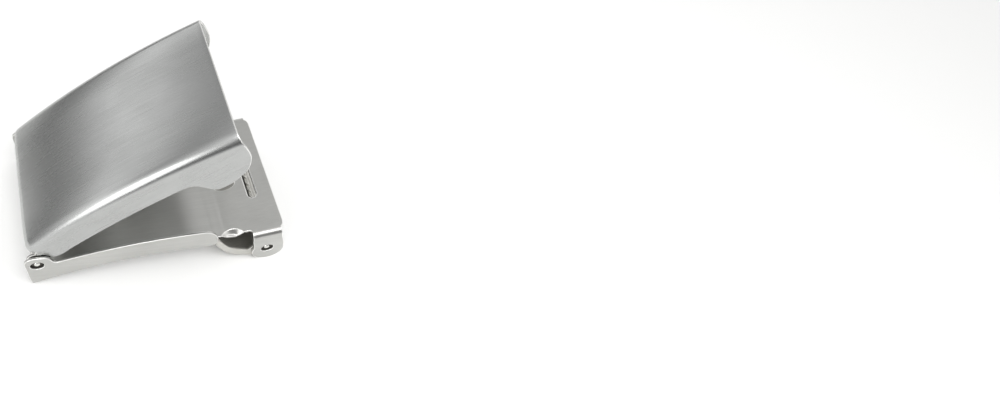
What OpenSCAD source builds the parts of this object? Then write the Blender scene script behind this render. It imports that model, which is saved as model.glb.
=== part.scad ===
// Flip-top clamp buckle for a 38 mm web belt, standing open on its own two ends.
// X runs from the hinge end to the strap end, Y across the belt, Z up from the table.

/* [Sheet] */
// Thickness of the folded steel sheet
sheet = 0.8; // [0.8:0.1:1.4]
// Side play between the cover's flanges and the clamp bracket inside them
bracket_play = 0.15; // [0.1:0.05:0.4]

/* [Base] */
// Width over the side walls
base_w = 44; // [40:0.5:50]
// Radius of the floor's arch, on its upper face
base_r = 136.8; // [120:0.1:260]
// Distance from the hinge pin to the top of the arch
arch_x = 50.5; // [45:0.5:70]
// How far the floor reaches past the hinge pin
floor_back = 1.1; // [0.5:0.1:2]
// Height of the side walls above the floor
wall_h = 7.6; // [6:0.1:11]
// Where the side walls end
wall_end = 49.8; // [44:0.1:52]
// Outer radius of the fold under each wall
fold_r = 1.4; // [1.1:0.1:2]
// How far the ear over the hinge pin reaches back past the pin
ear_back = 3.4; // [3:0.05:4]
// Height of that ear's top above the pin
ear_up = 3.7; // [3.2:0.1:4.4]
// Start of the sloping strap end
ramp_x = 51.5; // [46:0.5:56]
// Slope of the strap end
ramp_tilt = 12.5; // [0:0.5:16]
// Length of the strap end along its slope
ramp_len = 18.95; // [18:0.05:22]
// Half width of the floor in the notch between the wall and the folded ear
notch_half = 19.5; // [18:0.1:20]
// Outer radius of the fold over each strap end ear
ramp_fold_r = 2; // [1.5:0.1:3]
// Width of the slot over the teeth
slot_w = 2.4; // [2:0.1:4]
// Length of the slot
slot_l = 17.4; // [12:0.1:30]
// Distance of the slot from the start of the slope
slot_s = 12.85; // [12:0.05:18]
// Place along the belt of the pressed seats that take the cover's lobes
seat_x = 55.2; // [53:0.1:57]
// Height of those seats above the table
seat_z = 10.6; // [10:0.1:11.5]
// Radius of those seats
seat_r = 4.4; // [3.5:0.1:5]
// Radius of the folded ears round the jaw pin
strap_ear_r = 4.8; // [4:0.1:6]

/* [Pins] */
// Diameter of both pins
pin_d = 2.6; // [2:0.1:3.5]
// Height of the hinge pin above the table
hinge_z = 10.5; // [9:0.1:13]
// Distance from the hinge pin to the jaw pin
jaw_x = 66.8; // [60:0.1:72]
// Height of the jaw pin above the table
jaw_z = 5.8; // [5:0.1:8]
// Diameter of the sunk ring round each pin end
sink_d = 3.4; // [3:0.1:4.5]
// Depth of that ring
sink_t = 0.45; // [0.2:0.05:0.6]

/* [Cover] */
// Width of the cover over its flanges
cover_w = 42; // [38:0.1:48]
// Radius of the cover's arch, on its upper face
cover_r = 215.8; // [180:0.1:300]
// Angle of the open cover above the table
cover_tilt = 38.9; // [20:0.1:80]
// Start of the plate, past the pin
plate_u0 = 3.45; // [1:0.05:5]
// End of the plate, past the pin
plate_u1 = 64.95; // [55:0.05:70]
// Height of the plate's ends above the pin
plate_w0 = 7.63; // [4:0.05:8]
// Outer radius of the folds along the plate
cover_fold_r = 3; // [2:0.1:4]
// Depth of the flanges under the top of the plate
flange_d = 9.7; // [7:0.05:12]
// Radius of the rolled lip at the hinge end
lip_r = 3; // [2:0.1:4]
// Half width of that lip
lip_half = 19; // [15:0.5:19.5]

/* [Clamp bracket] */
// Radius of the pressing lobe
lobe_r = 3; // [2:0.1:4]
// Distance of the lobe from the pin along the cover
lobe_u = 53.7; // [50:0.1:56]
// Distance of the lobe's centre under the line through the pin
lobe_w = 7.4; // [7:0.1:11]
// Number of teeth on the pressing bar
bar_teeth = 12; // [6:1:18]

/* [Strap jaw] */
// Half width of the jaw
jaw_half = 20.95; // [19:0.05:21]
// Number of teeth on the jaw
jaw_teeth = 14; // [8:1:20]

/* [Hidden] */
half = base_w / 2;
ch = cover_w / 2;
pin_r = pin_d / 2;
bore_r = pin_r + 0.05;
floor_r = base_r - sheet;
arch_z = -sqrt(pow(floor_r, 2) - pow(arch_x + floor_back, 2));
ramp_z = arch_z + sqrt(pow(base_r, 2) - pow(arch_x - ramp_x, 2));
cover_u = (plate_u0 + plate_u1) / 2;
cover_half = (plate_u1 - plate_u0) / 2;
cover_c = plate_w0 - sqrt(pow(cover_r, 2) - pow(cover_half, 2));
lip_a = 90 + asin((cover_u - plate_u0) / cover_r);
lip_u = plate_u0 - lip_r * cos(lip_a);
lip_w = cover_c + cover_r * sin(lip_a) - lip_r * sin(lip_a);
strap_ear_u = 0.5;
seat_y = half;
x_lo = -ear_back;
x_hi = jaw_x + strap_ear_u + strap_ear_r;
mid_x = (x_lo + x_hi) / 2;

// points on an arc, from angle a to angle b
function bow(x, y, r, a, b, n) =
    [for (i = [0:n]) [x + r * cos(a + (b - a) * i / n), y + r * sin(a + (b - a) * i / n)]];
// mirror a list of points left to right and turn its order round
function twin(p) = [for (i = [len(p) - 1:-1:0]) [-p[i][0], p[i][1]]];
// swap the two coordinates of each point
function swap(p) = [for (q = p) [q[1], q[0]]];

// the same points in the other order
function back(p) = [for (i = [len(p) - 1:-1:0]) p[i]];
// one half of a folded channel: lower leg end, outer fold, then the middle
function fold(h, top, r, leg) = concat([[h, top - leg]], bow(h - r, top - r, r, 0, 90, 6));
// the whole channel, open downwards
function channel(h, top, r, leg, t) =
    concat(fold(h, top, r, leg), twin(fold(h, top, r, leg)),
           back(concat(fold(h - t, top - t, r - t, leg - t), twin(fold(h - t, top - t, r - t, leg - t)))));

// a side view outline made into a solid between two distances across the belt
module side(y0, y1, p) {
    translate([0, y1, 0]) rotate([90, 0, 0]) linear_extrude(height = y1 - y0) polygon(p);
}

// a cross section swept round an arch whose axis runs across the belt
module arch(x, z, p) {
    translate([x, 0, z]) rotate([90, 0, 0]) rotate_extrude($fn = 240) polygon(swap(p));
}

// a cross section carried straight along the belt
module run(x0, x1, p) {
    translate([x0, 0, 0]) rotate([90, 0, 90]) linear_extrude(height = x1 - x0) polygon(p);
}

// a round bar across the belt
module bar(x, z, r, h) {
    translate([x, 0, z]) rotate([90, 0, 0]) cylinder(r = r, h = 2 * h, center = true, $fn = 64);
}

module on_ramp() { translate([ramp_x, 0, ramp_z]) rotate([0, -ramp_tilt, 0]) children(); }

module on_cover() { translate([0, 0, hinge_z]) rotate([0, -cover_tilt, 0]) children(); }

// both sides of the belt
module pair() {
    children();
    mirror([0, 1, 0]) children();
}

// side outline of the walls and the floor up to the end of the walls
module wall_outline() {
    ear_z = hinge_z + ear_up;
    wall_r = base_r + wall_h;
    end_r = 5;
    top = arch_z + sqrt(pow(wall_r, 2) - pow(arch_x - wall_end + end_r, 2));
    side(-half - 1, half + 1, concat(
        [[-floor_back, -1], [-floor_back, 0.3], [-1.6, 1.5], [-2.1, 3.7], [-2.75, 8]],
        [[-ear_back, ear_z - 2.3], [-ear_back + 0.1, ear_z - 1.7], [-ear_back + 0.4, ear_z - 1.1],
         [-ear_back + 1, ear_z - 0.5], [-ear_back + 1.9, ear_z - 0.1], [-0.6, ear_z], [1.7, ear_z],
         [2.5, ear_z - 0.2], [3.2, ear_z - 0.7], [3.8, ear_z - 1.6], [4.3, ear_z - 2.4],
         [4.8, ear_z - 2.8], [5.4, ear_z - 2.9]],
        [for (x = [6:3:wall_end - end_r - 1]) [x, arch_z + sqrt(pow(wall_r, 2) - pow(arch_x - x, 2))]],
        bow(wall_end - end_r, top - end_r, end_r, 80, 8, 6),
        [[wall_end, ramp_z - sheet + 0.9], [wall_end - 1.2, ramp_z - sheet - 0.4], [wall_end - 1.2, -1]]));
}

// side outline of the ear that folds down at the strap end
module ear_outline() {
    side(-half - 1, half + 1, concat(
        [[59.9, 18], [60.1, 14], [61.1, 10.5]],
        bow(jaw_x + strap_ear_u, strap_ear_r, strap_ear_r, 165, 375, 14),
        [[70.8, 9.6], [69.6, 12.7], [68.8, 15.1], [68.6, 18]]));
}

module base_frame() color("silver") translate([-mid_x, 0, 0]) difference() {
    union() {
        // floor and walls, folded up
        intersection() {
            arch(arch_x, arch_z, [for (q = channel(half, 0, fold_r, 20, sheet)) [q[0], floor_r - q[1]]]);
            wall_outline();
        }
        // narrow floor in the notch
        intersection() {
            arch(arch_x, arch_z, [[-notch_half, floor_r], [notch_half, floor_r],
                                  [notch_half, base_r], [-notch_half, base_r]]);
            side(-half, half, [[wall_end - 4, 5], [ramp_x + 0.3, 5],
                               [ramp_x + 0.1, 15], [wall_end - 4, 15]]);
        }
        on_ramp() translate([0, 0, -sheet]) linear_extrude(height = sheet) polygon([
            [-0.3, -notch_half], [8.9, -notch_half], [9.4, -20.1],
            [18, -20.1], [18.6, -19.6], [ramp_len, -18.6],
            [ramp_len, 18.6], [18.6, 19.6], [18, 20.1],
            [9.4, 20.1], [8.9, notch_half], [-0.3, notch_half]]);
        // ears folded down round the jaw pin
        intersection() {
            on_ramp() run(8, 24, channel(half, 0, ramp_fold_r, 17, sheet));
            ear_outline();
        }
        // pressed seats for the lobes
        pair() intersection() {
            translate([seat_x, -seat_y, seat_z - sheet]) cylinder(r = seat_r + sheet, h = 4, $fn = 64);
            translate([seat_x - 8, -notch_half - 0.2, 5]) cube([16, 8, 12]);
            on_ramp() translate([-8, -half, -8]) cube([24, half, 8]);
        }
    }
    pair() translate([seat_x, -seat_y, seat_z]) cylinder(r = seat_r, h = 6, $fn = 64);
    // slot over the jaw's teeth
    on_ramp() for (y = [-1, 1]) translate([slot_s, y * (slot_l - slot_w) / 2, -3])
        cylinder(d = slot_w, h = 6, $fn = 48);
    on_ramp() translate([slot_s - slot_w / 2, -(slot_l - slot_w) / 2, -3])
        cube([slot_w, slot_l - slot_w, 6]);
    // pin holes, each with a sunk ring outside
    bar(0, hinge_z, bore_r, half + 2);
    bar(jaw_x, jaw_z, bore_r, half + 2);
    pair() for (p = [[0, hinge_z], [jaw_x, jaw_z]])
        translate([p[0], -half + sink_t, p[1]]) rotate([90, 0, 0]) cylinder(d = sink_d, h = 2, $fn = 48);
}

// a pin across the belt with domed ends
module pin(x, z) {
    end = half - 0.2;
    translate([x - mid_x, 0, z]) rotate([90, 0, 0]) rotate_extrude($fn = 48)
        polygon(concat([[0, -end]], [for (a = [15:15:90]) [pin_r * sin(a), -end + 0.45 * (1 - cos(a))]],
                       [for (a = [90:-15:15]) [pin_r * sin(a), end - 0.45 * (1 - cos(a))]], [[0, end]]));
}

module hinge_pin() color("gainsboro") pin(0, hinge_z);

module jaw_pin() color("gainsboro") pin(jaw_x, jaw_z);

module cover_plate() color("lightgray") translate([-mid_x, 0, 0]) on_cover() union() {
    low_r = cover_r - flange_d;
    // plate and flanges, cut to the side outline
    intersection() {
        arch(cover_u, cover_c, channel(ch, cover_r, cover_fold_r, 24, sheet));
        side(-ch - 1, ch + 1, concat(
            [[plate_u0, 12], [plate_u0, 6.6], [3, 5.5], [2.65, 4.2], [2.42, 2.75], [2.5, 1.6],
             [3.1, 0.4], [4, -0.55], [5.1, -1.3], [6.3, -1.85], [8, -1.85]],
            [for (u = [10:3:46]) [u, cover_c + sqrt(pow(low_r, 2) - pow(u - cover_u, 2))]],
            [[47.4, -0.5], [48.4, -1.2], [49.3, -2.35], [50.25, -4.3], [51.05, -5.9]],
            bow(53, -5.6, 1.75, 200, 268, 4),
            [[56, -7.35], [57.4, -7], [58.8, -6.4], [60.9, -5.4], [62.3, -4.2], [63.3, -2.8], [63.95, -1.6],
             [64.45, -0.2], [64.7, 1.6], [64.85, 4], [plate_u1, 7], [plate_u1, 12]]));
    }
    // rolled lip at the hinge end
    side(-lip_half, lip_half, concat(
        bow(lip_u, lip_w, lip_r, lip_a - 6, 180, 8), [[lip_u - lip_r, 2], [lip_u - lip_r + sheet, 2]],
        bow(lip_u, lip_w, lip_r - sheet, 180, lip_a - 6, 8)));
}

module clamp_bracket() color("darkgray") translate([-mid_x, 0, 0]) on_cover() difference() {
    out = ch - sheet - bracket_play;
    arm_out = cover_r - 7;
    arm_in = cover_r - 9.6;
    bar_w = -lobe_w - lobe_r + 0.6;
    union() {
        pair() {
            // arm that follows the cover's arch
            side(-out, -out + sheet, concat(
                [for (u = [0:4:56]) [u, cover_c + sqrt(pow(arm_out, 2) - pow(u - cover_u, 2))]],
                [for (u = [56:-4:0]) [u, cover_c + sqrt(pow(arm_in, 2) - pow(u - cover_u, 2))]]));
            // ear on the hinge pin
            side(-out, -out + sheet, bow(0, 0, 2.6, 0, 350, 35));
            // lobe that comes down on the strap
            side(-out, -out + sheet, concat(bow(lobe_u, -lobe_w, lobe_r, 180, 360, 14),
                [[lobe_u + 2.6, 0.5], [lobe_u - 2.6, 0.5]]));
        }
        // bar that presses on the strap
        side(-out + 0.4, out - 0.4, [[lobe_u - 0.5, bar_w], [lobe_u + 0.5, bar_w],
                                     [lobe_u + 0.5, -2.5], [lobe_u - 0.5, -2.5]]);
    }
    bar(0, 0, bore_r, half);
    // gaps between the teeth of the bar
    for (i = [0:bar_teeth - 1]) translate([lobe_u, (i - (bar_teeth - 1) / 2) * 2.9, bar_w])
        rotate([0, 90, 0]) cylinder(d = 1.6, h = 4, center = true, $fn = 24);
}

module strap_jaw() color("darkgray") translate([-mid_x, 0, 0]) difference() {
    tip_x = wall_end + 0.75;
    union() {
        // tray that lies under the strap's end
        side(-jaw_half, jaw_half, [
            [tip_x + 0.5, 9], [tip_x + 1, 8.2], [53, 6.5], [54.4, 4.9], [56, 3.6], [58, 2.6],
            [60.8, 1.7], [63.8, 1], [66.6, 0.8], [67.4, 3.6], [65.6, 4], [64.9, 1.9], [63.9, 1.9],
            [61, 2.6], [58.4, 3.5], [56.6, 4.4], [55.1, 5.6], [53.7, 7.2],
            [tip_x + 1.75, 8.8], [tip_x + 1.15, 9.4]]);
        // side flange with its ear on the pin
        pair() side(-jaw_half, -jaw_half + sheet, concat(
            [[tip_x, 12], [tip_x, 9.3], [tip_x + 0.6, 8.2], [52.3, 6.8], [54.1, 4.7],
             [55.7, 3.3], [57.8, 2.2], [60.8, 1.3], [63.6, 0.8], [66.6, 0.6]],
            bow(jaw_x, jaw_z, 3.5, -60, 150, 12),
            [[61.6, 4.1], [58.8, 4.9], [57, 5.6], [54.9, 6.9], [53.2, 8.7], [51.9, 10.3]]));
        // knuckle round the pin
        bar(jaw_x, jaw_z, 2.4, jaw_half - 0.4);
        // blade that carries the teeth
        side(-17.5, 17.5, [[65.2, 6.8], [67, 7.9], [64.75, 12.2], [63.85, 12]]);
    }
    bar(jaw_x, jaw_z, bore_r, half);
    // gaps between the teeth of the blade
    for (i = [0:jaw_teeth - 1]) translate([64.3, (i - (jaw_teeth - 1) / 2) * 2.5, 12.1])
        rotate([0, 90 - ramp_tilt, 0]) cylinder(d = 1.5, h = 6, center = true, $fn = 24);
}

base_frame();
hinge_pin();
jaw_pin();
cover_plate();
clamp_bracket();
strap_jaw();
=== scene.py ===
# Flip-top clamp buckle in brushed steel, standing open on its two ends.
# Lengths are in millimetres: x along the belt from the hinge pin, z up from the table.
import math
import bpy
import bmesh
from mathutils import Matrix, Vector


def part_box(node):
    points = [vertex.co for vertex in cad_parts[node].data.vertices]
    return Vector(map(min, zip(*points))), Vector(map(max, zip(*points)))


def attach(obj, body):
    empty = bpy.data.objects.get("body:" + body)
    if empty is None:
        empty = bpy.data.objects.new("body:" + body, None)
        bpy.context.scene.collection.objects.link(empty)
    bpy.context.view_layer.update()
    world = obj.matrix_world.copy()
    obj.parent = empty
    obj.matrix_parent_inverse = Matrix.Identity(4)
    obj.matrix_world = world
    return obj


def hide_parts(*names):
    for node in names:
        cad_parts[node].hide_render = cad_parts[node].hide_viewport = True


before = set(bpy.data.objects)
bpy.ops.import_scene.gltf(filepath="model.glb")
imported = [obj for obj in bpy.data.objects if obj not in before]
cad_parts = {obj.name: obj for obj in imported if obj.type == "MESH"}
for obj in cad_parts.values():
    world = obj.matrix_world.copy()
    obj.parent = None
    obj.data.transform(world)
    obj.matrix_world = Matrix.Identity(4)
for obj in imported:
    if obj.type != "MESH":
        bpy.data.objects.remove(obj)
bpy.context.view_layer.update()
mm = 0.001


def middle(node):
    low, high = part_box(node)
    return (low + high) / 2 / mm


hingePin, jawPin = middle("hinge_pin"), middle("jaw_pin")
hingeX, hingeZ = hingePin.x, hingePin.z
jawX, jawZ = jawPin.x - hingeX, jawPin.z
coverTilt = 38.9  # degrees that the open cover stands above the table


def onBase(x, y, z):
    return Vector(((x + hingeX) * mm, y * mm, z * mm))


def onCover(u, y, w):
    c, s = math.cos(math.radians(coverTilt)), math.sin(math.radians(coverTilt))
    return onBase(u * c - w * s, y, hingeZ + u * s + w * c)


# small helpers for outlines
def arc(x, z, radius, start, end, steps):
    turns = [math.radians(start + (end - start) * i / steps) for i in range(steps + 1)]
    return [(x + radius * math.cos(t), z + radius * math.sin(t)) for t in turns]


def circle(x, z, radius, steps=32):
    return arc(x, z, radius, 0, 360, steps)[:-1]


def quarterTurn(steps):
    return [math.radians(90 * i / steps) for i in range(steps + 1)]


def sideView(points):
    return [(p.x / mm - hingeX, p.z / mm) for p in points]


def spread(start, end, step):
    count = max(1, round(abs(end - start) / step))
    return [start + (end - start) * i / count for i in range(count + 1)]


def softStep(t):
    t = min(1.0, max(0.0, t))
    return t * t * (3 - 2 * t)


def smoothLine(points, steps=4):
    # a curve through all the points
    line = []
    for i in range(len(points) - 1):
        near = [points[max(i - 1, 0)], points[i], points[i + 1], points[min(i + 2, len(points) - 1)]]
        for k in range(steps):
            t = k / steps
            line.append(tuple(
                0.5 * (2 * b + (c - a) * t + (2 * a - 5 * b + 4 * c - d) * t * t
                       + (3 * b - a - 3 * c + d) * t ** 3)
                for a, b, c, d in zip(*near)))
    return line + [points[-1]]


# small helpers for meshes
def addGrid(bm, rows, steel=0):
    made = [[bm.verts.new(p) for p in row] for row in rows]
    for a, b in zip(made, made[1:]):
        for i in range(len(a) - 1):
            bm.faces.new((a[i], b[i], b[i + 1], a[i + 1])).material_index = steel


def addPlate(bm, outline, holes, facing):
    edges = []
    for loop in [outline, *holes]:
        ring = [bm.verts.new(p) for p in loop]
        edges += [bm.edges.new((ring[i - 1], ring[i])) for i in range(len(ring))]
    made = bmesh.ops.triangle_fill(bm, use_beauty=True, use_dissolve=True, edges=edges, normal=facing)
    for face in made["geom"]:
        if isinstance(face, bmesh.types.BMFace):
            face.normal_update()
            if face.normal.dot(Vector(facing)) < 0:
                face.normal_flip()


def addSlab(bm, place, outline, y0, y1, holes=()):
    for y in (y0, y1):
        addPlate(bm, [place(x, y, z) for x, z in outline], [[place(x, y, z) for x, z in h] for h in holes],
                 (0, 1 if y == y1 else -1, 0))
    for loop in [outline, *holes]:
        closed = list(loop) + [loop[0]]
        addGrid(bm, [[place(x, y0, z) for x, z in closed], [place(x, y1, z) for x, z in closed]])


def addPair(bm, place, outline, half, sheet, hole):
    # the same plate at both sides, with its outer face at half the width
    for side in (-1, 1):
        y = sorted((side * half, side * (half - sheet)))
        addSlab(bm, place, outline, y[0], y[1], [hole])


def addLathe(bm, place, x, z, profile, steps=48):
    rows = [[place(px, y, pz) for px, pz in arc(x, z, r, 0, 360, steps)] for y, r in profile]
    addGrid(bm, rows)


def newPiece(name, bm, up=None):
    bmesh.ops.remove_doubles(bm, verts=bm.verts[:], dist=0.002 * mm)
    bmesh.ops.dissolve_degenerate(bm, edges=bm.edges[:], dist=0.0005 * mm)
    bmesh.ops.recalc_face_normals(bm, faces=bm.faces[:])
    if up is not None and sum(f.normal.dot(Vector(up)) * f.calc_area() for f in bm.faces) < 0:
        bmesh.ops.reverse_faces(bm, faces=bm.faces[:])
    for face in bm.faces:
        face.smooth = True
    mesh = bpy.data.meshes.new(name)
    bm.to_mesh(mesh)
    bm.free()
    piece = bpy.data.objects.new(name, mesh)
    bpy.context.scene.collection.objects.link(piece)
    return piece


def thicken(piece, thickness):
    wall = piece.modifiers.new("sheetThickness", "SOLIDIFY")
    wall.thickness = thickness * mm
    wall.offset = -1
    wall.use_even_offset = True
    wall.use_quality_normals = True


def softenEdges(piece, width, angle=40):
    bevel = piece.modifiers.new("softEdges", "BEVEL")
    bevel.width = width * mm
    bevel.segments = 2
    bevel.limit_method = "ANGLE"
    bevel.angle_limit = math.radians(angle)
    bevel.use_clamp_overlap = False
    # where a piece has the pale edge steel last, its bevel faces take it: a painted highlight
    bevel.material = len(piece.data.materials) - 1
    normals = piece.modifiers.new("flatFaces", "WEIGHTED_NORMAL")
    normals.keep_sharp = True


def settle(piece):
    bpy.context.view_layer.update()
    graph = bpy.context.evaluated_depsgraph_get()
    mesh = bpy.data.meshes.new_from_object(
        piece.evaluated_get(graph), preserve_all_data_layers=True, depsgraph=graph)
    piece.modifiers.clear()
    piece.data = mesh
    mesh.name = piece.name


def dress(piece, material, body, node):
    if not piece.data.materials:
        piece.data.materials.append(material)
    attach(piece, body)
    if node:
        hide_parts(node)


# node trees
def addNode(tree, kind, settings=None, links=None):
    made = tree.nodes.new(kind)
    for key, value in (settings or {}).items():
        setattr(made, key, value)
    for socket, source in (links or {}).items():
        if isinstance(source, bpy.types.Node):
            source = source.outputs[0]
        if isinstance(source, bpy.types.NodeSocket):
            tree.links.new(source, made.inputs[socket])
        else:
            made.inputs[socket].default_value = source
    return made


def linear(hexColour):
    levels = [int(hexColour[i:i + 2], 16) / 255 for i in (1, 3, 5)]
    return [v / 12.92 if v <= 0.04045 else ((v + 0.055) / 1.055) ** 2.4 for v in levels] + [1.0]


# steel finishes
grain = {
    "lineWidth": 0.3,  # of one brush line across the belt; real ones are finer, and wouldn't show
    "lineHeight": 0.5,  # the same up a side wall
    "lineLength": 11.0,  # how far one line runs along the belt
    "wideShare": 0.6, "wideScale": 0.4,  # wider lines among the fine ones
    "cloudSize": 14.0,  # size of the faint darker and lighter areas
    "contrast": 0.3,  # half of the pattern's range from the dark steel to the light
    "depth": 0.02,  # of the lines in the surface
}
mixDark, mixLight, mixColour = 6, 7, 2  # the colour sockets of a mix node


def steelFinish(name, look):
    # steel worked along the belt: fine lighter and darker lines, with faint clouds behind them
    material = bpy.data.materials.new(name)
    material.use_nodes = True
    tree = material.node_tree
    tree.nodes.clear()
    place = addNode(tree, "ShaderNodeTexCoord")
    turned = addNode(tree, "ShaderNodeMapping", {}, {
        "Vector": place.outputs["Object"], "Rotation": (0, math.radians(look["tilt"]), 0)})
    fineness = [1 / (grain[size] * mm) for size in ("lineLength", "lineWidth", "lineHeight")]
    lines = addNode(tree, "ShaderNodeMapping", {}, {"Vector": turned, "Scale": fineness})
    fineLines = addNode(tree, "ShaderNodeTexNoise", {}, {
        "Vector": lines, "Scale": 1.0, "Detail": 1.0, "Roughness": 0.5})
    wideLines = addNode(tree, "ShaderNodeTexNoise", {}, {
        "Vector": lines, "Scale": grain["wideScale"], "Detail": 1.0, "Roughness": 0.5})
    clouds = addNode(tree, "ShaderNodeTexNoise", {}, {
        "Vector": turned, "Scale": 1 / (grain["cloudSize"] * mm), "Detail": 2.0, "Roughness": 0.5})
    both = addNode(tree, "ShaderNodeMath", {"operation": "MULTIPLY_ADD"}, {
        0: wideLines, 1: grain["wideShare"], 2: fineLines})
    faintLines = addNode(tree, "ShaderNodeMath", {"operation": "MULTIPLY"}, {0: both, 1: look["lines"]})
    pattern = addNode(tree, "ShaderNodeMath", {"operation": "MULTIPLY_ADD"}, {
        0: clouds, 1: look["clouds"], 2: faintLines})
    # the middle of the pattern, and the range round it
    level = 0.5 * ((1 + grain["wideShare"]) * look["lines"] + look["clouds"])
    low, high = level - grain["contrast"], level + grain["contrast"]
    share = addNode(tree, "ShaderNodeMapRange", {}, {"Value": pattern, "From Min": low, "From Max": high})
    tint = addNode(tree, "ShaderNodeMix", {"data_type": "RGBA"}, {
        "Factor": share, mixDark: linear(look["dark"]), mixLight: linear(look["light"])})
    gloss = addNode(tree, "ShaderNodeMapRange", {}, {
        "Value": pattern, "From Min": low, "From Max": high,
        "To Min": look["roughness"] + look["spread"], "To Max": look["roughness"] - look["spread"]})
    relief = addNode(tree, "ShaderNodeBump", {}, {
        "Strength": look["bump"], "Distance": grain["depth"] * mm, "Height": both})
    shader = addNode(tree, "ShaderNodeBsdfPrincipled", {}, {
        "Base Color": tint.outputs[mixColour], "Metallic": 1.0, "Roughness": gloss.outputs[0],
        "Normal": relief})
    addNode(tree, "ShaderNodeOutputMaterial", {}, {"Surface": shader})
    return material


# sanded stainless sheet: a soft sheen drawn out along fine lines
coverSteel = steelFinish("brushedStainlessCover", {
    "tilt": coverTilt, "dark": "#A8A9A8", "light": "#BCBDBC", "roughness": 0.27, "spread": 0.025,
    "lines": 0.33, "clouds": 0.7, "bump": 0.012})
# rolled stainless sheet, sanded less: paler and more matt
baseSteel = steelFinish("brushedStainlessBase", {
    "tilt": 0, "dark": "#AFAFAC", "light": "#C8C8C5", "roughness": 0.34, "spread": 0.03,
    "lines": 0.25, "clouds": 0.6, "bump": 0.04})
# turned and polished rod: one bright, sharp line of light
pinSteel = steelFinish("turnedSteelPin", {
    "tilt": 0, "dark": "#CFCFCB", "light": "#E6E6E2", "roughness": 0.15, "spread": 0.03,
    "lines": 0.6, "clouds": 0.2, "bump": 0.05})
# pale steel on the cut edges: a painted highlight, drawn as a pale rim round each sheet
edgeHighlightSteel = steelFinish("paintedHighlightEdge", {
    "tilt": 0, "dark": "#E0E0DD", "light": "#F0F0EE", "roughness": 0.3, "spread": 0.04,
    "lines": 0.3, "clouds": 0.5, "bump": 0.05})
# tumbled steel, even and matt; its paler tone is painted light, to lift the jaw where it sits in shade in
# the notch
jawLiftedSteel = steelFinish("tumbledSteelJawPaintedLight", {
    "tilt": 0, "dark": "#B9B8B3", "light": "#D6D5D0", "roughness": 0.48, "spread": 0.05,
    "lines": 0.5, "clouds": 0.8, "bump": 0.2})
# dark, dull grey steel: painted shade, for the bracket in the shade of the cover's flanges
bracketShadeSteel = steelFinish("bracketSteelPaintedShade", {
    "tilt": coverTilt, "dark": "#6E6D69", "light": "#8F8E89", "roughness": 0.45, "spread": 0.05,
    "lines": 0.5, "clouds": 0.8, "bump": 0.2})
# nearly black steel: painted shade, for the dark recess round each pin end in its hole
holeShadeSteel = steelFinish("paintedShadeInPinHole", {
    "tilt": 0, "dark": "#3B3936", "light": "#5A5752", "roughness": 0.45, "spread": 0.05,
    "lines": 0.3, "clouds": 0.8, "bump": 0.1})
print("steel finishes ready")

# base: arched floor with two walls, then a sloping strap end with two ears
base = {
    "sheet": 0.8, "half": 22, "edge": 0.18, "edgeAngle": 72,
    "archRadius": 136.8, "archX": 50.5, "floorBack": 1.1, "innerFold": 0.6,
    "wallHeight": 7.6, "wallEnd": 49.8, "wallFloorEnd": 49.3, "endRadius": 5,
    "earBack": 3.4, "earTop": 3.7, "pinHole": 1.85,
    "notchHalf": 19.5, "rampX": 51.5, "rampTilt": 12.5, "rampFold": 2,
    "rampEnd": 18.95, "foldStart": 9.5, "foldEnd": 18.0, "rampMesh": 9.15,
    "seatX": 55.3, "seatZ": 10.65, "seatRadius": 4.3, "seatWall": 1.2, "seatCurve": 1.1,
    "seatMesh": 0.2,  # width of the squares that the seats are pressed into
    "bendSoftness": 0.2, "bendReach": 2.6, "bendFade": 1.6,
    "slotS": 12.85, "slotHalf": 7.5, "slotRadius": 1.2,
    "strapEarX": 67.3, "strapEarZ": 4.8, "strapEarRadius": 4.8,
}
b = base
archZ = -math.sqrt((b["archRadius"] - b["sheet"]) ** 2 - (b["archX"] + b["floorBack"]) ** 2)
slopeC, slopeS = math.cos(math.radians(b["rampTilt"])), math.sin(math.radians(b["rampTilt"]))


def archHeight(x, rise=0.0):
    # height of the arched floor, or of a line that follows it higher up
    return archZ + math.sqrt((b["archRadius"] + rise) ** 2 - (b["archX"] - x) ** 2)


rampZ = archHeight(b["rampX"])


def floorPoint(turn, y, rise=0.0):
    radius = b["archRadius"] + rise
    return onBase(b["archX"] + radius * math.sin(turn), y, archZ + radius * math.cos(turn))


def rampPoint(s, y, drop=0.0):
    x = b["rampX"] + s * slopeC + drop * slopeS
    z = rampZ + s * slopeS - drop * slopeC
    if drop == 0 and abs(y) <= b["notchHalf"]:
        z = pressSeat(x, y, z + softBend(x))
    return onBase(x, y, z)


def softBend(x):
    # rounds the corner between the arched floor and the slope
    fall = abs(x - b["rampX"]) * math.tan(math.radians(b["rampTilt"]))
    soft = b["bendSoftness"] * softStep((b["bendReach"] - abs(x - b["rampX"])) / b["bendFade"])
    return (math.sqrt(fall * fall + 4 * soft * soft) - fall) / 2


def pressSeat(x, y, z):
    # dish that takes the cover's lobe: an even slope at the rim, flat inside
    inside = (b["seatRadius"] - math.hypot(x - b["seatX"], abs(y) - b["half"])) / b["seatWall"]
    if inside <= 0:
        return z
    dish = 1 - (1 - min(1.0, inside)) ** b["seatCurve"]
    return z + (b["seatZ"] - z) * dish


def onFlap(points, y):
    return [onBase(x, y, z) for x, z in points]


def slotRing(offset, rise, steps=12):
    radius = b["slotRadius"] + offset
    ring = []
    for way in (1, -1):
        for i in range(steps + 1):
            a = math.radians(180 * i / steps)
            s, y = b["slotS"] + way * radius * math.cos(a), way * (b["slotHalf"] + radius * math.sin(a))
            ring.append(rampPoint(s, y, -rise))
    return ring


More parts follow.
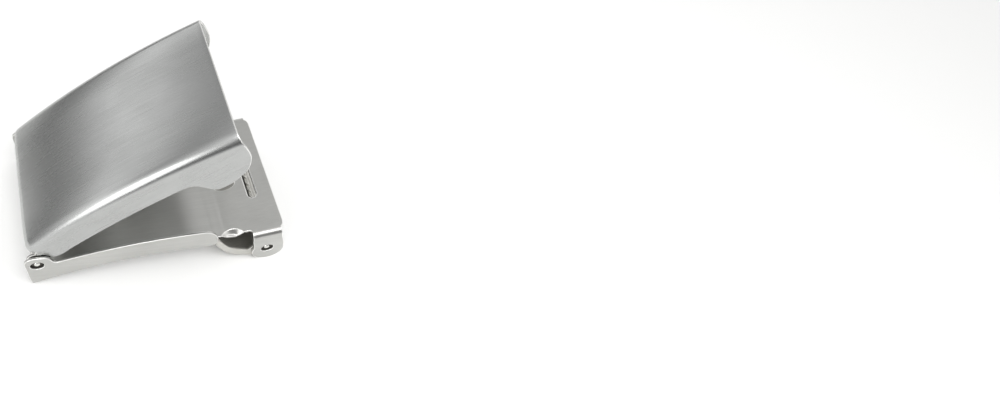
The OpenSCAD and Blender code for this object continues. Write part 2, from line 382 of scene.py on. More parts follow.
def buildBase():
    bm = bmesh.new()
    inner = b["half"] - b["sheet"]
    flat = inner - b["innerFold"]
    seatLines = [b["notchHalf"] - b["seatMesh"] * i for i in range(13)]
    sideLines = sorted([0, 4, 8, 12, 15] + seatLines)
    yLines = [-y for y in reversed(sideLines) if y] + sideLines
    firstTurn = -math.asin((b["archX"] + b["floorBack"]) / (b["archRadius"] - b["sheet"]))
    lastTurn = -math.asin((b["archX"] - b["wallFloorEnd"]) / b["archRadius"])
    turns = spread(firstTurn, lastTurn, 0.011)

    # floor between the walls, and the strip of it at each side
    addGrid(bm, [[floorPoint(t, y) for y in yLines] for t in turns])
    for side in (-1, 1):
        addGrid(bm, [[floorPoint(t, side * y) for y in (b["notchHalf"], flat)] for t in turns])
        bend, r = quarterTurn(10), b["innerFold"]
        addGrid(bm, [[floorPoint(t, side * (flat + r * math.sin(a)), r * (1 - math.cos(a))) for a in bend]
                     for t in turns])
        # wall
        foldLine = sideView([floorPoint(t, 0, r) for t in turns])
        endX, endR = b["wallEnd"], b["endRadius"]
        top = archHeight(endX - endR, b["wallHeight"])
        back, earZ = -b["earBack"], hingeZ + b["earTop"]
        ear = [(5.4, -2.9), (4.8, -2.8), (4.3, -2.4), (3.8, -1.6), (3.2, -0.7), (2.5, -0.2), (1.7, 0),
               (-0.6, 0), (back + 1.9, -0.1), (back + 1, -0.5), (back + 0.4, -1.1), (back + 0.1, -1.7),
               (back, -2.3)]
        outline = (
            foldLine
            + [(endX - 0.15, foldLine[-1][1] + 0.1), (endX, foldLine[-1][1] + 0.5)]
            + arc(endX - endR, top - endR, endR, 4, 84, 14)
            + [(x, archHeight(x, b["wallHeight"])) for x in spread(43.4, 6.6, 2.0)]
            + smoothLine([(x, earZ + z) for x, z in ear], 3)
            + [(-2.75, 8.0), (-2.1, 3.7)]
        )
        hole = circle(0, hingeZ, b["pinHole"])
        addPlate(bm, onFlap(outline, side * inner), [onFlap(hole, side * inner)], (0, -side, 0))

    # narrow floor in the notch, the bend, and the slope with its two pressed seats
    bendTurn = math.asin((b["rampX"] - 0.1 - b["archX"]) / b["archRadius"])
    rows = []
    for t in spread(lastTurn, bendTurn, 0.003):
        rise = Vector((0, 0, softBend(b["archX"] + b["archRadius"] * math.sin(t)) * mm))
        rows.append([floorPoint(t, y) + rise for y in yLines])
    rows += [[rampPoint(s, y) for y in yLines] for s in spread(0.15, b["rampMesh"], b["seatMesh"])]
    addGrid(bm, rows)

    # end of the slope, with the slot and its lip rolled down
    lip = [(0.0, -0.75), (0.04, -0.42), (0.12, -0.2), (0.26, -0.07), (0.45, 0.0)]
    rims = [slotRing(offset, rise) for offset, rise in lip]
    # the slot's rolled lip takes the pale edge steel: a painted highlight
    addGrid(bm, [ring + ring[:1] for ring in rims], 1)
    corner = [(b["foldStart"], 20.0), (b["foldEnd"], 20.0), (18.35, 19.9), (18.62, 19.55), (18.82, 19.0),
              (b["rampEnd"], 18.3)]
    outline = [(b["rampMesh"], y) for y in yLines] + corner + [(s, -y) for s, y in reversed(corner)]
    addPlate(bm, [rampPoint(s, y) for s, y in outline], [rims[-1]], (0, 0, 1))

    # ears folded down round the jaw pin
    for side in (-1, 1):
        bend, r, start = quarterTurn(12), b["rampFold"], b["half"] - b["rampFold"]
        strip = spread(b["foldStart"], b["foldEnd"], 8)
        addGrid(bm, [[rampPoint(s, side * (start + r * math.sin(a)), r * (1 - math.cos(a))) for a in bend]
                     for s in strip])
        topLine = sideView([rampPoint(s, 0, r) for s in strip])
        outline = (
            topLine
            + smoothLine([(69.75, 12.2), (70.6, 10.2), (71.35, 8.3)], 3)
            + arc(b["strapEarX"], b["strapEarZ"], b["strapEarRadius"], 24, -195, 26)
            + smoothLine([(62.1, 8.0), (61.45, 9.7)], 2)
        )
        hole = circle(jawX, jawZ, b["pinHole"])
        addPlate(bm, onFlap(outline, side * b["half"]), [onFlap(hole, side * b["half"])], (0, side, 0))

    piece = newPiece("base_sheet", bm, up=(0, 0, 1))
    piece.data.materials.append(baseSteel)
    piece.data.materials.append(edgeHighlightSteel)
    thicken(piece, b["sheet"])
    softenEdges(piece, b["edge"], b["edgeAngle"])
    settle(piece)
    return piece


baseSheet = buildBase()
dress(baseSheet, baseSteel, "base", "base_frame")
print("base folded:", len(baseSheet.data.polygons), "faces")

# pins with domed ends, and rings of painted shade round them
pins = {
    "radius": 1.3, "half": 21.8, "tipRadius": 0.9, "tipLength": 0.75, "dome": 0.5, "shoulder": 0.12,
    "edge": 0.05, "edgeAngle": 60,
    "play": 0.05,  # round each pin, in the holes that turn on it
}
collars = {
    "start": 0.01, "end": 0.15,  # out from the wall's inner face
    "overlap": 0.02, "gap": 0.03,  # into the wall, and clear of the pin's end
}


def buildPin(name, x, z):
    bm = bmesh.new()
    r, end, dome = pins["radius"], pins["half"], pins["dome"]
    tip = [(end - dome * (1 - math.cos(a)), pins["tipRadius"] * math.sin(a)) for a in quarterTurn(9)]
    shaftEnd = end - pins["tipLength"]
    tip += [(shaftEnd, pins["tipRadius"]), (shaftEnd - pins["shoulder"], r)]
    profile = [(-y, radius) for y, radius in tip] + [(y, radius) for y, radius in reversed(tip)]
    addLathe(bm, onBase, x, z, profile, 40)
    piece = newPiece(name, bm)
    softenEdges(piece, pins["edge"], pins["edgeAngle"])
    settle(piece)
    return piece


def buildShadeCollars():
    # a ring of painted shade round each pin end, down in its punched hole
    bm = bmesh.new()
    inner = b["half"] - b["sheet"]
    rim, fit = b["pinHole"] + collars["overlap"], pins["tipRadius"] + collars["gap"]
    for side in (-1, 1):
        low, high = side * (inner + collars["start"]), side * (inner + collars["end"])
        for x, z in ((0, hingeZ), (jawX, jawZ)):
            addLathe(bm, onBase, x, z, [(low, fit), (high, fit), (high, rim), (low, rim), (low, fit)])
    return newPiece("hole_shade_rings", bm)


hingePiece = buildPin("hinge_pin_turned", 0, hingeZ)
jawPinPiece = buildPin("jaw_pin_turned", jawX, jawZ)
dress(hingePiece, pinSteel, "base", "hinge_pin")
dress(jawPinPiece, pinSteel, "base", "jaw_pin")
dress(buildShadeCollars(), holeShadeSteel, "base", None)
print("pins turned")

# cover: a flat blank that a node tree folds, rolls at the lip and arches
cover = {
    "sheet": 0.8, "half": 21, "fold": 3, "radius": 215.8, "flangeDepth": 9.7, "edge": 0.25,
    "start": 3.45, "end": 64.95, "height": 7.63, "lipBottom": 2.0,
    "endBulge": 0.35, "bulgeLength": 5,  # how far the fold swells at its end, and over what length
    "crown": 0.28, "crownWidth": 6.5,  # how far the plate falls towards its folds, and over what width
}
c = cover
coverU = (c["start"] + c["end"]) / 2
coverHalf = (c["end"] - c["start"]) / 2
coverW = c["height"] - math.sqrt(c["radius"] ** 2 - coverHalf ** 2)
plateTurn = math.asin(coverHalf / c["radius"])
lipTurn = math.pi / 2 - plateTurn
lipCentreW = c["height"] - c["fold"] * math.cos(plateTurn)
foldLength = c["fold"] * math.pi / 2


def archLine(depth, stations):
    radius = c["radius"] - depth
    return [(u, coverW + math.sqrt(radius ** 2 - (u - coverU) ** 2)) for u in stations]


def toBlank(u, w):
    # where a point of the folded flange lies on the flat blank
    radius = math.hypot(u - coverU, w - coverW)
    turn = math.atan2(u - coverU, w - coverW)
    leg = c["radius"] - c["fold"] - radius
    return turn * c["radius"], c["half"] - c["fold"] + foldLength + leg - c["crown"]


def buildBlank():
    bm = bmesh.new()
    flat = c["half"] - c["fold"]
    plateStart, plateEnd = -plateTurn * c["radius"], plateTurn * c["radius"]
    lipEnd = plateStart - c["fold"] * lipTurn
    lipDrop = lipCentreW - c["lipBottom"]
    stations = spread(plateStart, plateEnd, 1.5)
    yLines = spread(-flat, flat, 1.0)
    lipStations = spread(lipEnd, plateStart, 0.45)
    bend = spread(0, foldLength, foldLength / 10)

    def put(x, y):
        return Vector((x * mm, y * mm, 0))

    def foldStation(x, t):
        return x + c["endBulge"] * (t / foldLength) ** 2 * softStep((x - plateEnd) / c["bulgeLength"] + 1)

    addGrid(bm, [[put(x, y) for y in yLines] for x in stations])
    addGrid(bm, [[put(x, y) for y in yLines] for x in lipStations])
    addGrid(bm, [[put(x, y) for y in yLines] for x in (lipEnd - lipDrop, lipEnd - lipDrop / 2, lipEnd)])
    hingeCorner = [(2.45, 3.2), (2.42, 2.4), (2.6, 1.4), (3.1, 0.45), (4, -0.5), (5.1, -1.2),
                   (6.3, -1.6), (8, -1.7)]
    lobe = [(47.4, -0.5), (48.4, -1.2), (49.3, -2.35), (50.25, -4.3), (51.1, -5.95), (52.0, -6.95),
            (53.1, -7.3), (54.5, -7.42), (56, -7.35), (57.4, -7), (58.8, -6.4), (60.9, -5.4),
            (62.3, -4.2), (63.3, -2.8), (63.95, -1.6), (64.45, -0.2), (64.72, 1.6), (64.88, 3.6)]
    flange = ([(2.95, 4.5), (2.66, 4.15)] + smoothLine(hingeCorner, 3)
              + archLine(c["flangeDepth"], spread(10, 46, 2)) + smoothLine(lobe, 3))
    for side in (-1, 1):
        addGrid(bm, [[put(foldStation(x, t), side * (flat + t)) for t in bend] for x in stations])
        addGrid(bm, [[put(x, side * (flat + t)) for t in bend] for x in lipStations])
        # the lip's rounded lower corner
        corner = bend[:4]
        drops = [lipDrop * math.sqrt(1 - (t / corner[-1]) ** 2) for t in corner]
        addGrid(bm, [[put(lipEnd - share * drop, side * (flat + t)) for t, drop in zip(corner, drops)]
                     for share in (1, 0.5, 0)])
        topLine = [put(foldStation(x, foldLength), side * (flat + foldLength)) for x in stations]
        low = [toBlank(u, w) for u, w in flange]
        addPlate(bm, list(reversed(topLine)) + [put(x, side * y) for x, y in low], [], (0, 0, 1))
    return newPiece("cover_sheet", bm, up=(0, 0, 1))


def foldingTree():
    # folds the blank's sides down, rolls its start into a lip, and lays it round the arch
    tree = bpy.data.node_groups.new("foldAndArch", "GeometryNodeTree")
    tree.interface.new_socket("Geometry", in_out="INPUT", socket_type="NodeSocketGeometry")
    for name in ("Arch Radius", "Fold Radius", "Half Width", "Lip Start", "Lip Turn", "Tilt",
                 "Crown", "Crown Width"):
        tree.interface.new_socket(name, in_out="INPUT", socket_type="NodeSocketFloat")
    tree.interface.new_socket("Arch Centre", in_out="INPUT", socket_type="NodeSocketVector")
    tree.interface.new_socket("Hinge", in_out="INPUT", socket_type="NodeSocketVector")
    tree.interface.new_socket("Steel", in_out="INPUT", socket_type="NodeSocketMaterial")
    tree.interface.new_socket("Geometry", in_out="OUTPUT", socket_type="NodeSocketGeometry")
    given = addNode(tree, "NodeGroupInput").outputs
    calc, vectorCalc = "ShaderNodeMath", "ShaderNodeVectorMath"
    position = addNode(tree, "GeometryNodeInputPosition")
    spot = addNode(tree, "ShaderNodeSeparateXYZ", {}, {0: position}).outputs
    radius, fold, lipStart = given["Arch Radius"], given["Fold Radius"], given["Lip Start"]
    # how far round the fold, and down the flange
    across = addNode(tree, calc, {"operation": "ABSOLUTE"}, {0: spot["Y"]})
    flat = addNode(tree, calc, {"operation": "SUBTRACT"}, {0: given["Half Width"], 1: fold})
    over = addNode(tree, calc, {"operation": "SUBTRACT"}, {0: across, 1: flat})
    turned = addNode(tree, calc, {"operation": "DIVIDE"}, {0: over, 1: fold})
    alpha = addNode(tree, "ShaderNodeClamp", {}, {"Value": turned, "Min": 0.0, "Max": math.pi / 2})
    pastFold = addNode(tree, calc, {"operation": "MULTIPLY_ADD"}, {0: fold, 1: -math.pi / 2, 2: over})
    leg = addNode(tree, calc, {"operation": "MAXIMUM"}, {0: pastFold, 1: 0.0})
    # how far round the lip, and past it
    beforeLip = addNode(tree, calc, {"operation": "SUBTRACT"}, {0: lipStart, 1: spot["X"]})
    pastLip = addNode(tree, calc, {"operation": "MAXIMUM"}, {0: beforeLip, 1: 0.0})
    rolled = addNode(tree, calc, {"operation": "DIVIDE"}, {0: pastLip, 1: fold})
    lam = addNode(tree, calc, {"operation": "MINIMUM"}, {0: rolled, 1: given["Lip Turn"]})
    lipLength = addNode(tree, calc, {"operation": "MULTIPLY"}, {0: fold, 1: given["Lip Turn"]})
    beyond = addNode(tree, calc, {"operation": "SUBTRACT"}, {0: pastLip, 1: lipLength})
    drop = addNode(tree, calc, {"operation": "MAXIMUM"}, {0: beyond, 1: 0.0})
    # the place on the arch
    onPlate = addNode(tree, calc, {"operation": "MAXIMUM"}, {0: spot["X"], 1: lipStart})
    isFlange = addNode(tree, calc, {"operation": "GREATER_THAN"}, {0: leg, 1: 1e-6})
    station = addNode(tree, "ShaderNodeMix", {"data_type": "FLOAT"}, {
        0: isFlange, 2: onPlate, 3: spot["X"]})
    phi = addNode(tree, calc, {"operation": "DIVIDE"}, {0: station, 1: radius})
    sinPhi = addNode(tree, calc, {"operation": "SINE"}, {0: phi})
    cosPhi = addNode(tree, calc, {"operation": "COSINE"}, {0: phi})
    minusSin = addNode(tree, calc, {"operation": "MULTIPLY"}, {0: sinPhi, 1: -1.0})
    outward = addNode(tree, "ShaderNodeCombineXYZ", {}, {"X": sinPhi, "Z": cosPhi})
    along = addNode(tree, "ShaderNodeCombineXYZ", {}, {"X": cosPhi, "Z": minusSin})
    # lengths outward from the arch's centre, along the arch and across it
    sinA = addNode(tree, calc, {"operation": "SINE"}, {0: alpha})
    cosA = addNode(tree, calc, {"operation": "COSINE"}, {0: alpha})
    sinL = addNode(tree, calc, {"operation": "SINE"}, {0: lam})
    cosL = addNode(tree, calc, {"operation": "COSINE"}, {0: lam})
    reach = addNode(tree, calc, {"operation": "MULTIPLY"}, {0: fold, 1: cosA})
    fall = addNode(tree, calc, {"operation": "MULTIPLY"}, {0: drop, 1: cosA})
    core = addNode(tree, calc, {"operation": "SUBTRACT"}, {0: radius, 1: fold})
    core = addNode(tree, calc, {"operation": "SUBTRACT"}, {0: core, 1: leg})
    outReach = addNode(tree, calc, {"operation": "MULTIPLY_ADD"}, {0: reach, 1: cosL, 2: core})
    fallOut = addNode(tree, calc, {"operation": "MULTIPLY"}, {0: fall, 1: sinL})
    outLength = addNode(tree, calc, {"operation": "SUBTRACT"}, {0: outReach, 1: fallOut})
    # the plate falls a little towards its folds, and the folds take that slope up
    beyondCrown = addNode(tree, calc, {"operation": "DIVIDE"}, {0: over, 1: given["Crown Width"]})
    crownShare = addNode(tree, calc, {"operation": "ADD", "use_clamp": True}, {0: beyondCrown, 1: 1.0})
    crownSquare = addNode(tree, calc, {"operation": "MULTIPLY"}, {0: crownShare, 1: crownShare})
    plateFall = addNode(tree, calc, {"operation": "MULTIPLY"}, {0: crownSquare, 1: given["Crown"]})
    crownSlope = addNode(tree, calc, {"operation": "DIVIDE"}, {0: given["Crown"], 1: given["Crown Width"]})
    slopeReach = addNode(tree, calc, {"operation": "MULTIPLY"}, {0: crownSlope, 1: fold})
    doubleAlpha = addNode(tree, calc, {"operation": "MULTIPLY"}, {0: alpha, 1: 2.0})
    sinDouble = addNode(tree, calc, {"operation": "SINE"}, {0: doubleAlpha})
    crownFall = addNode(tree, calc, {"operation": "MULTIPLY_ADD"}, {
        0: sinDouble, 1: slopeReach, 2: plateFall})
    outLength = addNode(tree, calc, {"operation": "SUBTRACT"}, {0: outLength, 1: crownFall})
    reachAlong = addNode(tree, calc, {"operation": "MULTIPLY"}, {0: reach, 1: sinL})
    alongSum = addNode(tree, calc, {"operation": "MULTIPLY_ADD"}, {0: fall, 1: cosL, 2: reachAlong})
    alongLength = addNode(tree, calc, {"operation": "MULTIPLY"}, {0: alongSum, 1: -1.0})
    within = addNode(tree, calc, {"operation": "MINIMUM"}, {0: across, 1: flat})
    wide = addNode(tree, calc, {"operation": "MULTIPLY_ADD"}, {0: fold, 1: sinA, 2: within})
    way = addNode(tree, calc, {"operation": "SIGN"}, {0: spot["Y"]})
    wideSigned = addNode(tree, calc, {"operation": "MULTIPLY"}, {0: wide, 1: way})
    outPart = addNode(tree, vectorCalc, {"operation": "SCALE"}, {0: outward, "Scale": outLength})
    alongPart = addNode(tree, vectorCalc, {"operation": "SCALE"}, {0: along, "Scale": alongLength})
    widePart = addNode(tree, "ShaderNodeCombineXYZ", {}, {"Y": wideSigned})
    sideView = addNode(tree, vectorCalc, {"operation": "ADD"}, {0: outPart, 1: alongPart})
    full = addNode(tree, vectorCalc, {"operation": "ADD"}, {0: sideView, 1: widePart})
    centred = addNode(tree, vectorCalc, {"operation": "ADD"}, {0: full, 1: given["Arch Centre"]})
    folded = addNode(tree, "GeometryNodeSetPosition", {}, {
        "Geometry": given["Geometry"], "Position": centred})
    merged = addNode(tree, "GeometryNodeMergeByDistance", {}, {"Geometry": folded, "Distance": 2e-6})
    turn = addNode(tree, "ShaderNodeCombineXYZ", {}, {"Y": given["Tilt"]})
    stood = addNode(tree, "GeometryNodeTransform", {}, {
        "Geometry": merged, "Translation": given["Hinge"], "Rotation": turn})
    real = addNode(tree, "GeometryNodeRealizeInstances", {}, {"Geometry": stood})
    done = addNode(tree, "GeometryNodeSetMaterial", {}, {"Geometry": real, "Material": given["Steel"]})
    addNode(tree, "NodeGroupOutput", {}, {"Geometry": done})
    return tree


def setInputs(modifier, values):
    for item in modifier.node_group.interface.items_tree:
        if item.item_type == "SOCKET" and item.in_out == "INPUT" and item.name in values:
            modifier[item.identifier] = values[item.name]


def buildCover():
    piece = buildBlank()
    folding = piece.modifiers.new("folding", "NODES")
    folding.node_group = foldingTree()
    setInputs(folding, {
        "Arch Radius": c["radius"] * mm, "Fold Radius": c["fold"] * mm, "Half Width": c["half"] * mm,
        "Lip Start": -plateTurn * c["radius"] * mm, "Lip Turn": lipTurn, "Tilt": -math.radians(coverTilt),
        "Crown": c["crown"] * mm, "Crown Width": c["crownWidth"] * mm,
        "Arch Centre": (coverU * mm, 0.0, coverW * mm), "Hinge": (hingeX * mm, 0.0, hingeZ * mm),
        "Steel": coverSteel})
    settle(piece)
    for face in piece.data.polygons:
        face.use_smooth = True
    piece.data.materials.append(edgeHighlightSteel)
    thicken(piece, c["sheet"])
    softenEdges(piece, c["edge"])
    settle(piece)
    return piece


coverSheet = buildCover()
dress(coverSheet, coverSteel, "cover", "cover_plate")
print("cover folded:", len(coverSheet.data.polygons), "faces")

# bracket inside the cover: two arms, their pressing lobes and a toothed bar
bracket = {
    "outer": 20.05, "sheet": 0.8, "armTop": 7.0, "armBottom": 9.6, "eye": 2.6, "edge": 0.25,
    "lobeU": 53.7, "lobeW": -7.4, "lobeRadius": 3.0,
    "barThickness": 1.0, "barTop": -2.5, "barLow": -9.0, "barInset": 0.4,
    "teeth": 13, "pitch": 2.9, "toothHeight": 0.85, "toothWidth": 1.1, "toothSunk": 0.05,
}
k = bracket


def buildBracket():
    bm = bmesh.new()
    outline = (
        arc(0, 0, k["eye"], 12, 262, 26)
        + archLine(k["armBottom"], spread(1.5, 50.2, 2.5))
        + smoothLine([(50.75, -1.6), (50.85, -4.5), (50.72, -6.6)], 3)
        + arc(k["lobeU"], k["lobeW"], k["lobeRadius"], 180, 360, 24)
        + smoothLine([(56.55, -5.6), (56.35, -2.0), (56.2, 0.4), (55.4, 1.6)], 3)
        + archLine(k["armTop"], spread(54.4, 2.8, 2.5))
    )
    eye = circle(0, 0, pins["radius"] + pins["play"])
    addPair(bm, onCover, outline, k["outer"], k["sheet"], eye)
    front, back = k["lobeU"] - k["barThickness"] / 2, k["lobeU"] + k["barThickness"] / 2
    bar = [(front, k["barLow"]), (back, k["barLow"]), (back, k["barTop"]), (front, k["barTop"])]
    barEnd = k["outer"] - k["barInset"]
    addSlab(bm, onCover, bar, -barEnd, barEnd)
    piece = newPiece("bracket_arms", bm)
    piece.data.materials.append(bracketShadeSteel)
    piece.data.materials.append(edgeHighlightSteel)
    softenEdges(piece, k["edge"])
    settle(piece)
    return piece


def toothTree():
    # a row of pointed teeth across the belt
    tree = bpy.data.node_groups.new("toothRow", "GeometryNodeTree")
    for name, kind in (("Geometry", "Geometry"), ("Count", "Int"), ("Pitch", "Float"), ("Width", "Float"),
                       ("Height", "Float"), ("Turn", "Vector"), ("Place", "Vector"), ("Steel", "Material")):
        tree.interface.new_socket(name, in_out="INPUT", socket_type="NodeSocket" + kind)
    tree.interface.new_socket("Geometry", in_out="OUTPUT", socket_type="NodeSocketGeometry")
    given = addNode(tree, "NodeGroupInput").outputs
    step = addNode(tree, "ShaderNodeCombineXYZ", {}, {"Y": given["Pitch"]})
    gaps = addNode(tree, "ShaderNodeMath", {"operation": "SUBTRACT"}, {0: given["Count"], 1: 1.0})
    length = addNode(tree, "ShaderNodeMath", {"operation": "MULTIPLY"}, {0: gaps, 1: given["Pitch"]})
    start = addNode(tree, "ShaderNodeMath", {"operation": "MULTIPLY"}, {0: length, 1: -0.5})
    first = addNode(tree, "ShaderNodeCombineXYZ", {}, {"Y": start})
    line = addNode(tree, "GeometryNodeMeshLine", {}, {
        "Count": given["Count"], "Start Location": first, "Offset": step})
    # half the diagonals of the square foot and of the blunt point
    foot = addNode(tree, "ShaderNodeMath", {"operation": "MULTIPLY"}, {0: given["Width"], 1: 0.7071})
    point = addNode(tree, "ShaderNodeMath", {"operation": "MULTIPLY"}, {0: given["Width"], 1: 0.12})
    tooth = addNode(tree, "GeometryNodeMeshCone", {}, {
        "Vertices": 4, "Radius Top": point, "Radius Bottom": foot, "Depth": given["Height"]})
    squared = addNode(tree, "GeometryNodeTransform", {}, {
        "Geometry": tooth.outputs["Mesh"], "Rotation": (0.0, 0.0, math.pi / 4)})
    row = addNode(tree, "GeometryNodeInstanceOnPoints", {}, {"Points": line, "Instance": squared})
    placed = addNode(tree, "GeometryNodeTransform", {}, {
        "Geometry": row, "Rotation": given["Turn"], "Translation": given["Place"]})
    real = addNode(tree, "GeometryNodeRealizeInstances", {}, {"Geometry": placed})
    done = addNode(tree, "GeometryNodeSetMaterial", {}, {"Geometry": real, "Material": given["Steel"]})
    addNode(tree, "NodeGroupOutput", {}, {"Geometry": done})
    return tree


toothRow = toothTree()


def buildTeeth(name, values):
    piece = newPiece(name, bmesh.new())
    row = piece.modifiers.new("teeth", "NODES")
    row.node_group = toothRow
    setInputs(row, values)
    settle(piece)
    return piece


bracketArms = buildBracket()
barTeeth = buildTeeth("bar_teeth", {
    "Count": k["teeth"], "Pitch": k["pitch"] * mm, "Width": k["toothWidth"] * mm,
    "Height": k["toothHeight"] * mm,
    "Turn": (0.0, math.pi - math.radians(coverTilt), 0.0),
    "Place": onCover(k["lobeU"], 0, k["barLow"] + k["toothSunk"]), "Steel": bracketShadeSteel})
dress(bracketArms, bracketShadeSteel, "cover", "clamp_bracket")
dress(barTeeth, bracketShadeSteel, "cover", None)
print("bracket cut")

# strap jaw: a curved tray with side flanges, a knuckle on the pin and a toothed blade
jaw = {
    "half": 20.95, "sheet": 0.8, "edge": 0.12, "tipX": 50.55, "eye": 3.5, "trayInset": 0.1,
    "knuckle": 2.4, "knuckleInset": 0.5, "bladeHalf": 17.5,
    "teeth": 13, "pitch": 2.5, "toothWidth": 1.0, "toothHeight": 1.3,
    "toothLean": -27, "toothFoot": (64.69, 11.2),
}
j = jaw


def buildJaw():
    tip = j["tipX"]
    bm = bmesh.new()
    under = smoothLine([(tip + 0.5, 9), (tip + 1, 8.2), (53, 6.5), (54.4, 4.9), (56, 3.6), (58, 2.6),
                        (60.8, 1.7), (63.8, 1), (66.6, 0.8)], 3)
    over = smoothLine([(64.9, 1.9), (63.9, 1.9), (61, 2.6), (58.4, 3.5), (56.6, 4.4), (55.1, 5.6),
                       (53.7, 7.2), (tip + 1.75, 8.8), (tip + 1.15, 9.4)], 3)
    trayEnd = j["half"] - j["trayInset"]
    addSlab(bm, onBase, under + [(67.4, 3.6), (65.6, 4)] + over, -trayEnd, trayEnd)
    low = smoothLine([(tip, 12), (tip, 9.3), (tip + 0.6, 8.2), (52.3, 6.8), (54.1, 4.7), (55.7, 3.3),
                      (57.8, 2.2), (60.8, 1.3), (63.6, 0.8), (66.6, 0.6)], 3)
    high = smoothLine([(61.6, 4.1), (58.8, 4.9), (57, 5.6), (54.9, 6.9), (53.2, 8.7), (51.9, 10.3)], 3)
    flange = low + arc(jawX, jawZ, j["eye"], -60, 150, 22) + high
    reach, bore, wall = j["half"] - j["knuckleInset"], pins["radius"] + pins["play"], j["knuckle"]
    addPair(bm, onBase, flange, j["half"], j["sheet"], circle(jawX, jawZ, bore))
    knuckle = [(-reach, bore), (-reach, wall), (reach, wall), (reach, bore), (-reach, bore)]
    addLathe(bm, onBase, jawX, jawZ, knuckle)
    blade = [(65.2, 6.8), (67, 7.9), (65.1, 11.5), (64.2, 11.2)]
    addSlab(bm, onBase, blade, -j["bladeHalf"], j["bladeHalf"])
    piece = newPiece("jaw_tray", bm)
    softenEdges(piece, j["edge"])
    settle(piece)
    return piece


jawTray = buildJaw()
jawTeeth = buildTeeth("jaw_teeth", {
    "Count": j["teeth"], "Pitch": j["pitch"] * mm, "Width": j["toothWidth"] * mm,
    "Height": j["toothHeight"] * mm, "Turn": (0.0, math.radians(j["toothLean"]), 0.0),
    "Place": onBase(j["toothFoot"][0], 0, j["toothFoot"][1]), "Steel": jawLiftedSteel})
dress(jawTray, jawLiftedSteel, "jaw", "strap_jaw")
dress(jawTeeth, jawLiftedSteel, "jaw", None)
print("jaw bent")

# table, light and camera
camera = {
    "target": (41.07, -4.03, 10.51), "azimuth": -23.97, "elevation": 54.29, "roll": 14.60,
    "distance": 187.80, "lens": 22.86, "sensor": 36.0, "shift": (0.327, -0.003),
}


def placeCamera():
    az, el, roll = (math.radians(camera[turn]) for turn in ("azimuth", "elevation", "roll"))
    back = Vector((math.cos(el) * math.sin(az), -math.cos(el) * math.cos(az), math.sin(el)))
    right = (-back).cross(Vector((0, 0, 1))).normalized()
    up = right.cross(-back)
    tiltedRight = right * math.cos(roll) + up * math.sin(roll)
    tiltedUp = up * math.cos(roll) - right * math.sin(roll)
    data = bpy.data.cameras.new("camera")
    data.lens, data.sensor_width = camera["lens"], camera["sensor"]
    data.shift_x, data.shift_y = camera["shift"]
    data.clip_start, data.clip_end = 0.005, 20
    eye = bpy.data.objects.new("camera", data)
    bpy.context.scene.collection.objects.link(eye)
    turned = Matrix((tiltedRight, tiltedUp, back)).transposed().to_4x4()
    turned.translation = onBase(*camera["target"]) + back * camera["distance"] * mm
    eye.matrix_world = turned
    bpy.context.scene.camera = eye


table = {"near": "#FCFCFB", "far": "#A9A9AA", "fadeStart": -105, "fadeEnd": -300, "half": 1500}


def buildTable():
    bm = bmesh.new()
    bmesh.ops.create_grid(bm, x_segments=8, y_segments=8, size=table["half"] * mm)
    sheet = newPiece("table", bm)
    # white sweep paper: matt, with painted shade that greys it far in front, where the steel mirrors it as
    # a darker line
    paper = bpy.data.materials.new("mattPaperSweep")
    paper.use_nodes = True
    tree = paper.node_tree
    tree.nodes.clear()
    place = addNode(tree, "ShaderNodeTexCoord").outputs["Object"]
    spot = addNode(tree, "ShaderNodeSeparateXYZ", {}, {0: place})
    lit = addNode(tree, "ShaderNodeMapRange", {"interpolation_type": "SMOOTHSTEP"}, {
        "Value": spot.outputs["Y"], "From Min": table["fadeEnd"] * mm, "From Max": table["fadeStart"] * mm})
    tint = addNode(tree, "ShaderNodeMix", {"data_type": "RGBA"}, {
        "Factor": lit, mixDark: linear(table["far"]), mixLight: linear(table["near"])})
    shader = addNode(tree, "ShaderNodeBsdfPrincipled", {}, {
        "Base Color": tint.outputs[mixColour], "Roughness": 0.9, "Specular IOR Level": 0.2})
    addNode(tree, "ShaderNodeOutputMaterial", {}, {"Surface": shader})
    sheet.data.materials.append(paper)


lights = {
    # name: (place in mm, size in mm, watts)
    "overheadFront": ((-30, -210, 410), 230, 0.5),
    "overheadRight": ((240, -130, 400), 260, 0.25),
    "leftPanel": ((-250, -256, 132), 220, 0.33),
}
# brightness of the studio against the height above the horizon, as the sine of the angle
studioUp = [(0.0, 0.03), (0.1, 0.05), (0.22, 0.55), (0.35, 1.6), (0.45, 1.1), (0.6, 0.27), (0.8, 0.82),
            (1.0, 0.78)]
# and how much of it is left from the front, at 0, to the back, at 1
studioBack = [(0.0, 0.1), (0.12, 0.1), (0.2, 1.7), (0.32, 1.5), (0.5, 1.1), (0.75, 1.0)]
# the pale horizon behind and at the right, and the faint light that is left in front:
# each fades in between the two heights or directions given
haze = {"strength": 0.45, "back": (0.0, 0.5), "right": (-0.4, 0.1), "low": (0.4, 0.15)}
frontFill = {"strength": 0.12, "front": (-0.2, -0.7)}


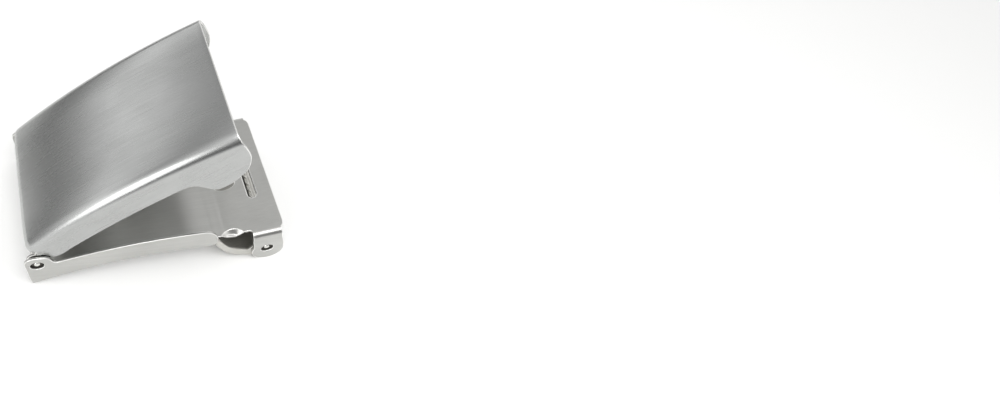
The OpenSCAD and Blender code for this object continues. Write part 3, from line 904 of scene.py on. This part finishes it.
def placeLights():
    target = onBase(34, 0, 15)
    for name, (spot, size, watts) in lights.items():
        data = bpy.data.lights.new(name, "AREA")
        data.shape, data.size, data.energy = "DISK", size * mm, watts
        lamp = bpy.data.objects.new(name, data)
        bpy.context.scene.collection.objects.link(lamp)
        lamp.location = Vector(spot) * mm
        lamp.rotation_mode = "QUATERNION"
        lamp.rotation_quaternion = (target - lamp.location).to_track_quat("-Z", "Y")
    world = bpy.data.worlds.new("studio")
    world.use_nodes = True
    tree = world.node_tree
    tree.nodes.clear()
    way = addNode(tree, "ShaderNodeTexCoord")
    spot = addNode(tree, "ShaderNodeSeparateXYZ", {}, {0: way.outputs["Generated"]}).outputs
    backness = addNode(tree, "ShaderNodeMapRange", {}, {"Value": spot["Y"], "From Min": -1.0})
    shades = []
    for source, steps in ((spot["Z"], studioUp), (backness, studioBack)):
        ramp = addNode(tree, "ShaderNodeValToRGB", {}, {0: source})
        stops = ramp.color_ramp.elements
        while len(stops) < len(steps):
            stops.new(1.0)
        for stop, (level, bright) in zip(stops, steps):
            stop.position, stop.color = level, (bright, bright, bright, 1.0)
        shades.append(ramp)
    fades = []
    for source, (start, end), full in (
            (spot["Y"], haze["back"], haze["strength"]), (spot["X"], haze["right"], 1.0),
            (spot["Z"], haze["low"], 1.0), (spot["Y"], frontFill["front"], frontFill["strength"])):
        fades.append(addNode(tree, "ShaderNodeMapRange", {}, {
            "Value": source, "From Min": start, "From Max": end, "To Max": full}))
    pale = addNode(tree, "ShaderNodeMath", {"operation": "MULTIPLY"}, {0: fades[0], 1: fades[1]})
    pale = addNode(tree, "ShaderNodeMath", {"operation": "MULTIPLY"}, {0: pale, 1: fades[2]})
    both = addNode(tree, "ShaderNodeMath", {"operation": "ADD"}, {0: pale, 1: fades[3]})
    main = addNode(tree, "ShaderNodeMath", {"operation": "MULTIPLY_ADD"}, {
        0: shades[0], 1: shades[1], 2: both})
    glow = addNode(tree, "ShaderNodeBackground", {}, {"Color": (1.0, 1.0, 1.0, 1.0), "Strength": main})
    addNode(tree, "ShaderNodeOutputWorld", {}, {"Surface": glow})
    bpy.context.scene.world = world
    bpy.context.scene.view_settings.view_transform = "Standard"


placeCamera()
buildTable()
placeLights()
print("table, light and camera placed")
